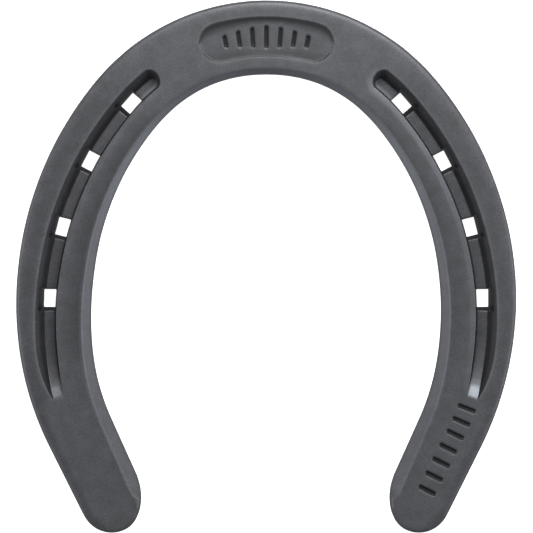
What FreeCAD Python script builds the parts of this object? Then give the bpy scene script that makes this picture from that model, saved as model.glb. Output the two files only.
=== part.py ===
import FreeCAD, Part
import math
import os

# A front keg horseshoe: one drop-forged steel bar, bent to a U, creased and punched for eight nails.
#
# Millimetres. +X is across the shoe, +Y towards the toe and +Z up. The hoof face lies on Z = 0 and
# the creased ground face is up. The origin is the middle of the shoe's box, on the hoof face.
#
# A place in the bar is given by its distance along an edge from the middle of the toe, its inset
# from that edge towards the middle of the shoe, and its height.

# Overall sizes
SHOE_WIDTH = 127.0
SHOE_LENGTH = 135.2
THICKNESS = 8.0
WEB = 18.8  # width of the bar at the toe and quarters
HEEL_WEB = 16.2  # width of the bar at the heel ends

# Form of the U
WIDEST_SHARE = 0.5656  # share of the length that lies ahead of the widest line
TOE_TURN = 50.0  # degrees that the toe arc turns on each side
HEEL_TURN = 26.6  # degrees that the outer edge closes in behind the widest line
HEEL_TAPER = 2.4  # degrees less that the inner edge closes in, which narrows the heels
HEEL_STRAIGHT = 27.3
HEEL_CORNER = 8.0  # stretch over which the heel end's outer corner is rounded
HEEL_INNER_CORNER = 12.3  # the same, for its inner corner
HEEL_TIP = 7.8  # outer edge to the rearmost point of the heel end

# Forged edges
FACE_ROUND = 1.0
BASE_ROUND = 0.6
BEVEL_TOE = 1.3  # leg of the inner edge's 45 degree bevel at the toe
BEVEL_HEEL = 3.2
BEVEL_GROWTH = 1.3  # power by which the bevel widens towards the heel

# Nails and crease
NAILS = 4  # on each branch
FIRST_NAIL = 47.8
NAIL_PITCH = 20.5
NAIL_LENGTH = 4.5  # opening of a nail hole, along the branch
NAIL_WIDTH = 3.1
FIRST_NAIL_INSET = 11.9  # outer edge to the inner side of the first nail hole
LAST_NAIL_INSET = 9.95
CREASE_DEPTH = 4.0
CREASE_FLOOR = 2.65
CREASE_SLOPE = 30.0  # degrees that the crease's outer wall leans from upright
CREASE_BATTER = 4.0  # the same, for its inner wall
CREASE_LEAD = 9.3  # centre of the crease's round toe end to the first nail
CREASE_TAIL = 28.0  # last nail to the end of the crease
CREASE_END_INSET = 8.3  # outer edge to the inner wall where the crease ends
RUN_OUT = 15.3  # stretch over which the crease rises to the face
POCKET_DEPTH = 2.2  # taper of a nail hole, below the floor of the crease
POCKET_SLOPES = {"toe": 0.08, "heel": 0.4, "outer": 0.12}  # widening per mm of height

# Stamped panel at the toe and marks, all plain shapes
PANEL_LENGTH = 41.0
PANEL_HEIGHT = 10.0
PANEL_DEPTH = 0.4
MARK_WIDTH = 1.3
MARK_DEPTH = 0.5
TOE_MARKS = 7
TOE_MARK_PITCH = 4.2
TOE_MARK_LENGTH = 6.4  # the middle mark
TOE_MARK_STEP = 1.0  # how much shorter each next mark is
HEEL_MARKS = 7
HEEL_MARK_LENGTH = 5.3
HEEL_MARK_INSET = 4.7  # outer edge to the near end of the marks
HEEL_MARK_MARGIN = 3.4  # crease's end to the first mark, and last mark to the heel corner

# Working values
CLEAR = 1.0  # how far a cutting shape runs past the face that it cuts
CLOSE = 0.01  # distance under which a point counts as on a face or a corner
CREASE_SECTIONS = 12
BEVEL_SECTIONS = 12
RISE_SHARE = 1.05  # how far the crease's rise is drawn out, so that it leaves the face cleanly
ELLIPSE = 0.5523  # handle of a quarter ellipse drawn as one cubic curve
CORNER_SHARE = 0.9  # largest heel corner, as a share of the straight that it rounds
TOE_Y = SHOE_LENGTH / 2
WIDEST_Y = TOE_Y - WIDEST_SHARE * SHOE_LENGTH
LAST_NAIL = FIRST_NAIL + (NAILS - 1) * NAIL_PITCH
CREASE_END = LAST_NAIL + CREASE_TAIL
FLOOR_Z = THICKNESS - CREASE_DEPTH


def heading(turned):
    """Unit vectors along an edge and inwards from it, where the edge has turned this far (degrees)."""
    a = math.radians(turned)
    return FreeCAD.Vector(math.cos(a), -math.sin(a), 0), FreeCAD.Vector(-math.sin(a), -math.cos(a), 0)


class Edge:
    """The +X half of one edge: tangent arcs of (radius, degrees) from the toe, then a straight."""

    def __init__(self, toe, arcs, straight):
        self.pieces = []
        self.straight = straight
        point, turned, distance = toe, 0.0, 0.0
        for radius, turn in arcs:
            centre = point + heading(turned)[1] * radius
            self.pieces.append((distance, turned, radius, centre))
            turned += turn
            distance += radius * math.radians(turn)
            point = centre - heading(turned)[1] * radius
        self.straight_from = distance
        self.straight_point = point
        self.turned = turned
        self.length = distance + straight

    def corner(self, wanted):
        """Length of the heel's rounded corner on this edge, which its straight has to hold."""
        return min(wanted, CORNER_SHARE * self.straight)

    def at(self, distance):
        """Point, direction along the edge, and direction inwards, at a distance from the toe."""
        if distance >= self.straight_from:
            along, inwards = heading(self.turned)
            return self.straight_point + along * (distance - self.straight_from), along, inwards
        start, turned, radius, centre = [p for p in self.pieces if p[0] <= max(distance, 0.0)][-1]
        along, inwards = heading(turned + math.degrees((distance - start) / radius))
        return centre - inwards * radius, along, inwards

    def place(self, distance, inset, z, ahead=0.0):
        """A point in the bar. `ahead` runs square to the inset, further from the toe."""
        point, along, inwards = self.at(distance)
        return point + along * ahead + inwards * inset + FreeCAD.Vector(0, 0, z)

    def curves(self, corner):
        """The edge as curves, from the first joint to the rounded corner at the heel."""
        ends = [p[0] for p in self.pieces[1:]] + [self.straight_from]
        curves = []
        for start, end in zip(ends[:-1], ends[1:]):
            points = [self.place(d, 0, 0) for d in (start, (start + end) / 2, end)]
            curves.append(Part.Arc(*points).toShape())
        end = self.length - self.corner(corner)
        straight = [self.place(d, 0, 0) for d in (self.straight_from, end)]
        curves.append(Part.LineSegment(*straight).toShape())
        return curves

    def toe_curve(self):
        """The toe arc, from the -X side's first joint to the +X side's."""
        right = self.place(self.pieces[1][0], 0, 0)
        left = FreeCAD.Vector(-right.x, right.y, 0)
        return Part.Arc(left, self.place(0, 0, 0), right).toShape()


def make_outer_edge():
    """Outer edge: the toe and quarter arcs meet the widest line, and the heel arc gives the length."""
    half = SHOE_WIDTH / 2
    reach = TOE_Y - WIDEST_Y
    s, c = math.sin(math.radians(TOE_TURN)), math.cos(math.radians(TOE_TURN))
    whole = s * c - (1 - s) * (1 - c)
    toe_radius = (half * c - reach * (1 - s)) / whole
    quarter_radius = (reach * s - half * (1 - c)) / whole
    h = math.radians(HEEL_TURN)
    corner_back = (HEEL_STRAIGHT - HEEL_CORNER) * math.cos(h) - HEEL_TIP * math.sin(h)
    corner_back += math.hypot(HEEL_CORNER * math.cos(h), HEEL_TIP * math.sin(h))
    heel_radius = (SHOE_LENGTH - reach - corner_back) / math.sin(h)
    arcs = [(toe_radius, TOE_TURN), (quarter_radius, 90 - TOE_TURN), (heel_radius, HEEL_TURN)]
    return Edge(FreeCAD.Vector(0, TOE_Y, 0), arcs, HEEL_STRAIGHT)


def make_inner_edge(outer):
    """Inner edge: a web's width inside the outer one, then tapering to the heel's width."""
    toe_radius, quarter_radius = [p[2] - WEB for p in outer.pieces[:2]]
    end = outer.place(outer.length, HEEL_WEB, 0)
    turn = HEEL_TURN - HEEL_TAPER
    h = math.radians(turn)
    half = SHOE_WIDTH / 2 - WEB
    past = end.x * math.cos(h) - end.y * math.sin(h) - half * math.cos(h) + WIDEST_Y * math.sin(h)
    heel_radius = past / (1 - math.cos(h))
    arcs = [(toe_radius, TOE_TURN), (quarter_radius, 90 - TOE_TURN), (heel_radius, turn)]
    toe = FreeCAD.Vector(0, TOE_Y - WEB, 0)
    start = Edge(toe, arcs, 0.0).straight_point
    return Edge(toe, arcs, (end - start).Length)


def mirrored(shape):
    """The same shape on the other branch."""
    return shape.mirror(FreeCAD.Vector(0, 0, 0), FreeCAD.Vector(1, 0, 0))


def loft(sections, ruled=False):
    """A solid through flat sections, each a list of corner points."""
    wires = [Part.makePolygon(points + points[:1]) for points in sections]
    return Part.makeLoft(wires, True, ruled)


def spread(start, end, count):
    """Evenly spaced values, both ends included."""
    return [start + (end - start) * i / (count - 1) for i in range(count)]


def edges_where(solid, test):
    """The solid's edges whose two end points both pass the test."""
    return [e for e in solid.Edges if all(test(v.Point) for v in e.Vertexes)]


def quarter_ellipse(start, corner, end):
    """A rounded corner between two sides, given the corner that it takes away."""
    curve = Part.BezierCurve()
    curve.setPoles([start, start + (corner - start) * ELLIPSE, end + (corner - end) * ELLIPSE, end])
    return curve.toShape()


def make_heel_end(outer, inner):
    """The heel end's two rounded corners, which meet at its rearmost point."""
    tip = outer.place(outer.length, HEEL_TIP, 0)
    ends = []
    for edge, corner in ((outer, HEEL_CORNER), (inner, HEEL_INNER_CORNER)):
        start = edge.place(edge.length - edge.corner(corner), 0, 0)
        ends.append(quarter_ellipse(start, edge.place(edge.length, 0, 0), tip))
    return ends


def make_blank(outer, inner):
    """The bent bar with its rounded heel ends and softened edges, before any cut."""
    branch = outer.curves(HEEL_CORNER) + inner.curves(HEEL_INNER_CORNER) + make_heel_end(outer, inner)
    edges = branch + [mirrored(e) for e in branch] + [outer.toe_curve(), inner.toe_curve()]
    wire = Part.Wire(Part.__sortEdges__(edges))
    solid = Part.Face(wire).extrude(FreeCAD.Vector(0, 0, THICKNESS))
    solid = solid.makeFillet(FACE_ROUND, edges_where(solid, lambda p: p.z > THICKNESS - CLOSE))
    return solid.makeFillet(BASE_ROUND, edges_where(solid, lambda p: p.z < CLOSE))


def make_bevel(inner):
    """Cutting shape for the inner edge's bevel on one branch. It runs on past the heel's round corner."""
    sections = []
    for distance in spread(0, inner.length + 2 * CLEAR, BEVEL_SECTIONS):
        share = min(distance / inner.length, 1.0)
        leg = BEVEL_TOE + (BEVEL_HEEL - BEVEL_TOE) * share**BEVEL_GROWTH
        top = THICKNESS + CLEAR
        corners = [(-leg - CLEAR, top), (CLEAR, THICKNESS - leg - CLEAR), (CLEAR, top)]
        sections.append([inner.place(distance, inset, z) for inset, z in corners])
    return loft(sections)


def nail_inset(distance):
    """Outer edge to the nails' inner side: a parabola through three known insets."""
    known = [(FIRST_NAIL, FIRST_NAIL_INSET), (LAST_NAIL, LAST_NAIL_INSET)]
    known.append((CREASE_END, CREASE_END_INSET))
    inset = 0.0
    for at, value in known:
        for other, _ in known:
            if other != at:
                value *= (distance - other) / (at - other)
        inset += value
    return inset


def crease_insets(distance, rise):
    """Insets of the crease's outer and inner walls, at a height above its floor."""
    inner = nail_inset(distance)
    outer_lean = rise * math.tan(math.radians(CREASE_SLOPE))
    inner_lean = rise * math.tan(math.radians(CREASE_BATTER))
    return inner - CREASE_FLOOR - outer_lean, inner + inner_lean


def crease_section(outer, distance, depth):
    """Corners of the crease's section at a distance, for a depth below the face."""
    top = crease_insets(distance, depth + CLEAR)
    bottom = crease_insets(distance, 0)
    corners = [(top[0], THICKNESS + CLEAR), (bottom[0], THICKNESS - depth)]
    corners += [(bottom[1], THICKNESS - depth), (top[1], THICKNESS + CLEAR)]
    return [outer.place(distance, inset, z) for inset, z in corners]


def make_crease(outer):
    """Cutting shapes for one branch's crease: round toe end, full-depth run, and rise to the face."""
    start = FIRST_NAIL - CREASE_LEAD
    rise_from = CREASE_END - RUN_OUT
    run = [crease_section(outer, d, CREASE_DEPTH) for d in spread(start, rise_from, CREASE_SECTIONS)]
    rise = []
    for share in spread(0, RISE_SHARE, CREASE_SECTIONS):
        depth = CREASE_DEPTH * (1 - share**2)
        rise.append(crease_section(outer, rise_from + RUN_OUT * share, depth))
    rings = []
    for z in (FLOOR_Z, THICKNESS + CLEAR):
        insets = crease_insets(start, z - FLOOR_Z)
        centre = outer.place(start, sum(insets) / 2, z)
        rings.append(Part.Wire([Part.makeCircle((insets[1] - insets[0]) / 2, centre)]))
    return [loft(run), loft(rise), Part.makeLoft(rings, True, True)]


def make_nail_hole(outer, distance):
    """Cutting shapes for one nail hole: the through hole, and the tapered pocket above it."""
    inner = nail_inset(distance)

    def rectangle(z, widening):
        toe, heel, side = [POCKET_SLOPES[k] * widening for k in ("toe", "heel", "outer")]
        near, far = inner - NAIL_WIDTH - side, inner
        back, front = -NAIL_LENGTH / 2 - toe, NAIL_LENGTH / 2 + heel
        corners = [(near, back), (near, front), (far, front), (far, back)]
        return [outer.place(distance, inset, z, ahead) for inset, ahead in corners]

    taper_from = FLOOR_Z - POCKET_DEPTH
    top = THICKNESS + CLEAR
    hole = loft([rectangle(-CLEAR, 0), rectangle(taper_from, 0)], ruled=True)
    pocket = loft([rectangle(taper_from, 0), rectangle(top, top - taper_from)], ruled=True)
    return [hole, pocket]


def make_panel(outer):
    """Cutting shape for the toe panel: a shallow recess with round ends that follows the toe."""
    near, far = (WEB - PANEL_HEIGHT) / 2, (WEB + PANEL_HEIGHT) / 2
    z = THICKNESS - PANEL_DEPTH
    round_from = (PANEL_LENGTH - PANEL_HEIGHT) / 2
    places = [(round_from, near), (PANEL_LENGTH / 2, WEB / 2), (round_from, far)]
    right = [outer.place(distance, inset, z) for distance, inset in places]
    left = [FreeCAD.Vector(-p.x, p.y, p.z) for p in right]
    arcs = [Part.Arc(left[0], outer.place(0, near, z), right[0]), Part.Arc(*right)]
    arcs += [Part.Arc(right[2], outer.place(0, far, z), left[2]), Part.Arc(*reversed(left))]
    face = Part.Face(Part.Wire([a.toShape() for a in arcs]))
    return face.extrude(FreeCAD.Vector(0, 0, PANEL_DEPTH + CLEAR))


def make_mark(outer, distance, inset, length, bottom):
    """Cutting shape for one stamped mark: a round-ended bar across the web."""
    point, along, inwards = outer.at(distance)
    side = along * (MARK_WIDTH / 2)
    round_end = inwards * (MARK_WIDTH / 2)
    near = point + inwards * (inset + MARK_WIDTH / 2) + FreeCAD.Vector(0, 0, bottom)
    far = near + inwards * (length - MARK_WIDTH)
    curves = [
        Part.LineSegment(near + side, far + side),
        Part.Arc(far + side, far + round_end, far - side),
        Part.LineSegment(far - side, near - side),
        Part.Arc(near - side, near - round_end, near + side),
    ]
    face = Part.Face(Part.Wire([c.toShape() for c in curves]))
    return face.extrude(FreeCAD.Vector(0, 0, THICKNESS + CLEAR - bottom))


def make_marks(outer):
    """Cutting shapes for the row of marks in the toe panel and the row on the +X heel."""
    marks = []
    middle = (TOE_MARKS - 1) / 2
    bottom = THICKNESS - PANEL_DEPTH - MARK_DEPTH
    for i in range(TOE_MARKS):
        steps = abs(i - middle)
        length = TOE_MARK_LENGTH - TOE_MARK_STEP * steps
        mark = make_mark(outer, TOE_MARK_PITCH * steps, (WEB - length) / 2, length, bottom)
        marks.append(mark if i >= middle else mirrored(mark))
    first = CREASE_END + HEEL_MARK_MARGIN
    last = outer.length - HEEL_CORNER - HEEL_MARK_MARGIN
    bottom = THICKNESS - MARK_DEPTH
    for distance in spread(first, last, HEEL_MARKS):
        marks.append(make_mark(outer, distance, HEEL_MARK_INSET, HEEL_MARK_LENGTH, bottom))
    return marks


def make_horseshoe():
    """The finished shoe, one solid."""
    outer = make_outer_edge()
    inner = make_inner_edge(outer)
    branch_cuts = [make_bevel(inner)] + make_crease(outer)
    for i in range(NAILS):
        branch_cuts += make_nail_hole(outer, FIRST_NAIL + i * NAIL_PITCH)
    cuts = branch_cuts + [mirrored(c) for c in branch_cuts] + [make_panel(outer)] + make_marks(outer)
    shoe = make_blank(outer, inner)
    for cut in cuts:
        shoe = shoe.cut(cut)
    return shoe


os.makedirs("parts", exist_ok=True)
horseshoe = make_horseshoe()
box = horseshoe.BoundBox
print("solids", len(horseshoe.Solids), "valid", horseshoe.isValid(), "volume", round(horseshoe.Volume, 1))
print("box", [round(x, 3) for x in (box.XMin, box.XMax, box.YMin, box.YMax, box.ZMin, box.ZMax)])
horseshoe.exportStep("parts/horseshoe.step")
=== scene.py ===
"""Horseshoe: the forged surface and the finish of one steel keg shoe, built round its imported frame.

The shoe is drawn out flat first, as one branch on a sheet of numbered cells. The cells of the nail
holes are punched out, the sheet is drawn down to a plate with walls, and every station of the plate
is forged to its section: rim, crease, panel, marks and bevel. Two branches are then bent round the
shoe's outer edge and welded at the toe.
"""

import logging
import math
from collections.abc import Callable
from dataclasses import dataclass, field
from enum import Enum

import bpy
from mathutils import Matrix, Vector


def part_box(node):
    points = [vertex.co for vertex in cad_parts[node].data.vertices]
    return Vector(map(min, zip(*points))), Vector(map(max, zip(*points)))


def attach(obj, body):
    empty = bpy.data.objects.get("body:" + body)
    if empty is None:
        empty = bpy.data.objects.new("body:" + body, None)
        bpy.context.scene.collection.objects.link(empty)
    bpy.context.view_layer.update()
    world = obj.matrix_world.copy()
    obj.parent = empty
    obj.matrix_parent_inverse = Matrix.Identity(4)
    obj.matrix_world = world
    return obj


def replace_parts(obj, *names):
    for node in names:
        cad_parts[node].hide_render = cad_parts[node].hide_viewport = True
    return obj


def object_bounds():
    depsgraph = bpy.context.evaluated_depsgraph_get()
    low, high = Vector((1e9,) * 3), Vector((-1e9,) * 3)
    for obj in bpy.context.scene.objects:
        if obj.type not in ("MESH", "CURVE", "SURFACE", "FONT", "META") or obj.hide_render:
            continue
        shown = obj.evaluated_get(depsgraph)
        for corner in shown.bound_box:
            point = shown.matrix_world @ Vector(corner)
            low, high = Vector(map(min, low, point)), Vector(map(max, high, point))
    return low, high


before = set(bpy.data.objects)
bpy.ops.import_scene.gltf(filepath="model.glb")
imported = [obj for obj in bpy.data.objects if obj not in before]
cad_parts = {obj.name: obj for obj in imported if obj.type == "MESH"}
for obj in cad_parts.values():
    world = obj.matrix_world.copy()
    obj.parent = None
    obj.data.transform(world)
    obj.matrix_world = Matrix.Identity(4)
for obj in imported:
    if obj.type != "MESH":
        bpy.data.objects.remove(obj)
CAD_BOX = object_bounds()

log = logging.getLogger("horseshoe")

MM = 0.001
NODE = "horseshoe"
Colour = tuple[float, float, float, float]

PAINTED_LIGHT = "painted_light"  # attribute of painted light and shade: 0 full painted shade, PLAIN plain steel, 1 full painted highlight
PLAIN = 0.5
MIX_SHARE, MIX_FIRST, MIX_SECOND, MIX_RESULT = 0, 6, 7, 2  # a Mix node's sockets for colours

# Columns of the sheet, from the outer edge: rim, band of the crease or the marks, bevel.
COLUMNS = 26
BAND_FIRST = 4
BAND_LAST = 20
MIDDLE = 12
NOTCH = 8  # on the crease's outer wall, where a nail's pocket begins
NAIL_SIDE = 14  # foot of the crease's inner wall, where the nails lie

# Lines of the crease. They are rings that close round its toe end, numbered inwards from the lip.
SHOULDER, BESIDE_LIP, LIP, UNDER_LIP, WALL = -2, -1, 0, 1, 1.5
WALL_FOOT, CORNER, FLOOR_SIDE, FLOOR = 2, 3, 4, 5
OUTER_RINGS = (SHOULDER, BESIDE_LIP, LIP, UNDER_LIP, WALL, WALL_FOOT, CORNER, FLOOR_SIDE)
INNER_RINGS = (FLOOR_SIDE, CORNER, WALL_FOOT, UNDER_LIP, LIP, BESIDE_LIP, SHOULDER)
RINGS = dict(enumerate(OUTER_RINGS + (FLOOR,) + INNER_RINGS, BAND_FIRST))  # by column
FALLS = {UNDER_LIP: 0.08, WALL: 0.3, WALL_FOOT: 0.92}  # share of the wall that is above the line
LIP_DROPS = {SHOULDER: 0.0, BESIDE_LIP: 0.85}  # share of the lip's drop that a line outside it has
END_STEPS = FLOOR + 1 - SHOULDER  # stations round the crease's toe end

# Where stations, columns and levels lie, as shares of the way from one edge to the other.
MOUTH_STATIONS = (0.0, 0.07, 0.36, 0.66, 0.93, 1.0)
MOUTH_COLUMNS = (0.0, 0.08, 0.3, 0.5, 0.7, 0.92, 1.0)
MOUTH_REACH = {NOTCH - 1: 0.5, NOTCH: 1.0, NOTCH + 1: 0.35}  # by column, share of a mouth's longer reach
RUN_STATIONS = (0.0, 0.18, 0.35, 0.5, 0.63, 0.74, 0.83, 0.9, 0.96, 1.0)
BEVEL_COLUMNS = (0.55, 0.1, 0.0)
RIM_COLUMN = 0.3
WALL_LEVELS = (0.0, 0.06, 0.36, 0.66, 0.94)
LEVELS = len(WALL_LEVELS)  # steps from the ground face to the hoof face

# Other places of stations, and what the sheet needs to be cut and welded.
PANEL_TURNS = (0, 28, 52, 70)  # degrees round the panel's end
HEEL_STATIONS = (8.0, 6.6, 5.2, 3.9, 2.8, 1.9, 1.2, 0.65, 0.3, 0.0)  # millimetres before the heel end
PLAIN_STATIONS = 5  # between the panel and the crease
TOE_WALL = 0.01  # cells from the first station; only the wall at the toe lies nearer
WELD = 0.002 * MM  # corners nearer than this become one


class Side(Enum):
    """The two branches, by the sign of X."""

    RIGHT = 1
    LEFT = -1


@dataclass(frozen=True)
class Fade:
    """A smooth change that starts at one place and takes a length to complete."""

    start: float
    length: float

    def at(self, place: float) -> float:
        """How much of the change is done at a place, from 0 to 1."""
        return ease((place - self.start) / self.length)


@dataclass(frozen=True)
class Sizes:
    """Sizes of the shoe, in metres and degrees, all along or square to its outer edge."""

    web_at: tuple[tuple[float, float], ...] = (
        (0, 18.7), (24, 18.6), (48, 19.0), (98, 19.25), (116, 18.8), (140, 17.5), (176, 16.0),
    )  # place and width of the bar, in millimetres
    widest_share: float = 0.5656
    toe_turn: float = 50.0
    heel_turn: float = 26.6
    heel_straight: float = 27.3 * MM
    heel_corner: float = 8.0 * MM
    heel_inner_corner: float = 11.3 * MM
    heel_tip: float = 7.8 * MM
    heel_flat_band: float = 4.0 * MM  # last stretch, whose columns are spread evenly
    heel_band_outer: float = 2.4 * MM
    heel_band_inner: float = 3.0 * MM
    sway: float = 0.3 * MM  # how far the heels lie to the left, as bending left them
    sway_fade: Fade = Fade(95 * MM, 45 * MM)
    rim: float = 1.05 * MM
    rim_radius: float = 0.8 * MM
    crown: float = 0.2 * MM
    crown_width: float = 2.6 * MM
    hold: float = 0.17 * MM  # distance of a column or station that holds an edge crisp
    bevel_toe: float = 1.3 * MM
    bevel_heel: float = 3.2 * MM
    bevel_growth: float = 1.3
    bevel_fade: float = 2.4  # how fast the bevel turns to plain rim round the heel's inner corner
    bevel_fade_end: float = 0.35
    base_insets: tuple[float, float] = (0.25 * MM, 0.8 * MM)
    base_lift: float = 0.1 * MM  # height where the side walls begin to turn under
    first_nail: float = 47.8 * MM
    nail_pitch: float = 20.5 * MM
    nails: int = 4
    nail_length: float = 4.5 * MM
    nail_width: float = 3.1 * MM
    nail_insets: tuple[float, float, float] = (11.9 * MM, 9.95 * MM, 8.3 * MM)
    pocket_depth: float = 2.1 * MM
    pocket_toe: float = 0.15 * MM
    pocket_heel: float = 1.0 * MM
    pocket_reach_toe: float = 0.7 * MM  # how much further a mouth reaches on the crease's outer wall
    pocket_reach_heel: float = 0.45 * MM
    mouth_roll: float = 0.1  # share of the way down to the neck where the mouth's edge is held
    neck_above: float = 0.12 * MM  # levels that hold the neck and the foot of a hole crisp
    neck_below: float = 0.35 * MM
    foot_above: float = 0.35 * MM
    crease_depth: float = 4.0 * MM
    crease_floor: float = 2.65 * MM
    crease_slope: float = 30.0
    crease_batter: float = 7.0
    crease_lead: float = 9.3 * MM
    crease_tail: float = 28.0 * MM
    crease_pitch: float = 3.0 * MM  # of the stations between nails
    end_pitch: float = 0.36 * MM  # of the stations round the toe end
    end_floor_pitch: float = 0.5 * MM
    run_out: float = 15.3 * MM
    run_power: float = 2.2
    last_step: float = 0.28 * MM
    last_step_length: float = 0.08 * MM
    lip_drop: float = 0.1 * MM
    shoulder: float = 1.25 * MM
    panel_length: float = 41.0 * MM
    panel_height: float = 10.0 * MM
    panel_depth: float = 0.35 * MM
    panel_margin: float = 1.2 * MM
    panel_tip: float = 0.3  # least half height of the panel's band, as a share of its radius
    mark_width: float = 1.3 * MM
    mark_depth: float = 0.5 * MM
    mark_end_bottom: float = 0.5 * MM  # how much shorter a mark is at its side, at its bottom and top
    mark_end_top: float = 0.7 * MM
    toe_marks_each_side: int = 3
    toe_mark_pitch: float = 4.2 * MM
    toe_mark_length: float = 6.4 * MM
    toe_mark_step: float = 1.0 * MM
    toe_mark_limit: float = 1.2  # longest mark, as a share of the panel's half height there
    heel_marks: int = 7
    heel_mark_length: float = 5.3 * MM
    heel_mark_inset: float = 4.7 * MM
    heel_mark_margin: float = 3.4 * MM
    heel_mark_rows: tuple[float, ...] = (1.8 * MM, 1.4 * MM, 1.0 * MM, 0.6 * MM)
    panel_gap: float = 2.0 * MM  # plain steel kept clear of stations after the panel
    crease_gap: float = 4.6 * MM  # and before the middle of the crease's toe end

    @property
    def crease_start(self) -> float:
        """Centre of the crease's round toe end, along the edge."""
        return self.first_nail - self.crease_lead

    @property
    def crease_end(self) -> float:
        """End of the crease, along the edge."""
        return self.first_nail + (self.nails - 1) * self.nail_pitch + self.crease_tail

    @property
    def panel_centre(self) -> float:
        """Middle of the toe panel, in from the edge."""
        return self.web_at[0][1] * MM / 2

    def nail_centre(self, nail: int) -> float:
        """Where a nail's centre lies along the edge, counting nails from the toe."""
        return self.first_nail + nail * self.nail_pitch


@dataclass(frozen=True)
class PaintedLight:
    """Painted light and shade at each place, as offsets from plain steel: -0.5 is full painted shade, 0.5
    is full painted highlight.
    """

    # painted highlight on the rounded outer rim, stronger at the toe
    rim_toe: float = 0.3
    rim_heel: float = 0.1
    rim_fade: Fade = Fade(0.0, 140 * MM)
    face_shade_fade: Fade = Fade(38 * MM, 16 * MM)  # where painted shade begins on the faces beside the crease
    past_crease: Fade = Fade(118 * MM, 20 * MM)
    outer_face_past: float = 0.9  # share of the faces' painted shade that is left past the crease
    inner_face_past: float = 0.25
    beside_shoulder: float = 0.7  # share of the inner face's painted shade at its two edges
    beside_bevel: float = 1.5
    bevel_at: tuple[tuple[float, float], ...] = (
        (0, 0.04), (40, 0.11), (58, 0.15), (100, 0.05), (176, 0.02),
    )  # place, in millimetres, and painted highlight on the bevel
    bevel_edge: float = 0.4  # share of the bevel's painted highlight on the edge between it and the face
    # painted sheen on the crease's inner lip, fading towards the heel
    shoulder_fade: Fade = Fade(45 * MM, 60 * MM)
    shoulder_past: float = 0.45
    shoulder_rest: float = 0.8  # share of the lip's painted sheen on the far side of the shoulder
    # painted shade on the crease's walls, corners and floor; the few small positive values are painted
    # light
    outer_lip: float = 0.03
    outer_wall: float = -0.05
    outer_wall_run: float = -0.4  # painted shade added where the crease runs out
    outer_wall_power: float = 0.7
    outer_foot: float = -0.08  # painted shade added at the wall's foot
    outer_corner: float = -0.1
    inner_wall: float = -0.4
    inner_corner: float = -0.15
    floor_side_toe: float = 0.12  # painted light on the floor beside the inner wall, before the first nail
    floor_side: float = -0.07
    floor: float = -0.02
    whole_depth: float = 0.25  # share of the crease's depth from which its walls take their full painted shade
    before_nail: float = 2.0 * MM
    # painted light that lifts the shade on the crease's round toe end wall
    toe_wall: float = 0.05
    toe_wall_share: float = 0.8
    run_highlight: Fade = Fade(0.63, 0.22)  # painted highlight towards the run-out's end and painted shade along it, both in shares of the run-out
    run_shade: Fade = Fade(0.12, 0.34)
    # painted shade in the toe panel, its marks and the nail holes, with a faint painted highlight on the
    # panel's lip
    panel_lip: float = 0.02
    panel_edge: float = -0.2
    panel_wall: float = -0.38
    panel_floor: float = -0.035
    mark: float = -0.5
    hole: float = -0.42


@dataclass(frozen=True)
class BranchPaintedLight:
    """Painted light and shade that differ from branch to branch, as amounts."""

    shoulder: float
    outer_face_shade: float
    inner_face_shade: float
    run_highlight: float
    run_shade: float


# painted light per branch: more painted sheen and highlight, less painted shade, on the branch the light
# falls on more
BRANCH_PAINTED_LIGHT = {
    Side.RIGHT: BranchPaintedLight(
        shoulder=0.07, outer_face_shade=0.065, inner_face_shade=0.09, run_highlight=0.44, run_shade=0.2
    ),
    Side.LEFT: BranchPaintedLight(
        shoulder=0.01, outer_face_shade=0.11, inner_face_shade=0.14, run_highlight=0.26, run_shade=0.15
    ),
}


@dataclass(frozen=True)
class Spot:
    """A corner of the sheet: how far along and across the bar, its height over the face, its painted light
    and shade.
    """

    u: float
    v: float
    z: float = 0.0
    painted_light: float = 0.0


@dataclass
class Station:
    """One cross-section of a branch: its place, the spots of its band, and the nail it belongs to."""

    u: float
    band: list[Spot] | None = None
    nail: int | None = None


def spread(start: float, end: float, count: int) -> list[float]:
    """Evenly spaced values from start to end, both included."""
    return [start + (end - start) * i / (count - 1) for i in range(count)]


def mix(a: float, b: float, share: float) -> float:
    """The value that lies a share of the way from a to b."""
    return a + (b - a) * share


def ease(x: float) -> float:
    """A smooth step, 0 for x at or under 0 and 1 for x at or over 1."""
    x = min(max(x, 0.0), 1.0)
    return x * x * (3 - 2 * x)


def round_drop(distance: float, radius: float) -> float:
    """How far a rounded edge lies below its face at a distance in from it, zero past the radius."""
    short = max(radius - max(distance, 0.0), 0.0)
    return radius - math.sqrt(radius * radius - short * short)


def through(knots: tuple[tuple[float, float], ...], x: float) -> float:
    """A smooth curve through a few known values.

    Args:
        knots: The known (place, value) pairs, in order.
        x: Where to read the curve.

    Returns:
        The value there.
    """
    k = max(i for i, (place, _) in enumerate(knots[:-1]) if place <= max(x, knots[0][0]))
    (x0, y0), (x1, y1) = knots[k], knots[k + 1]
    before, after = knots[max(k - 1, 0)], knots[min(k + 2, len(knots) - 1)]
    slope0 = (y1 - before[1]) / (x1 - before[0])
    slope1 = (after[1] - y0) / (after[0] - x0)
    t, width = (x - x0) / (x1 - x0), x1 - x0
    rise = y0 * (1 + 2 * t) * (1 - t) ** 2 + y1 * t * t * (3 - 2 * t)
    return rise + width * (slope0 * t * (1 - t) ** 2 - slope1 * t * t * (1 - t))


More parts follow.
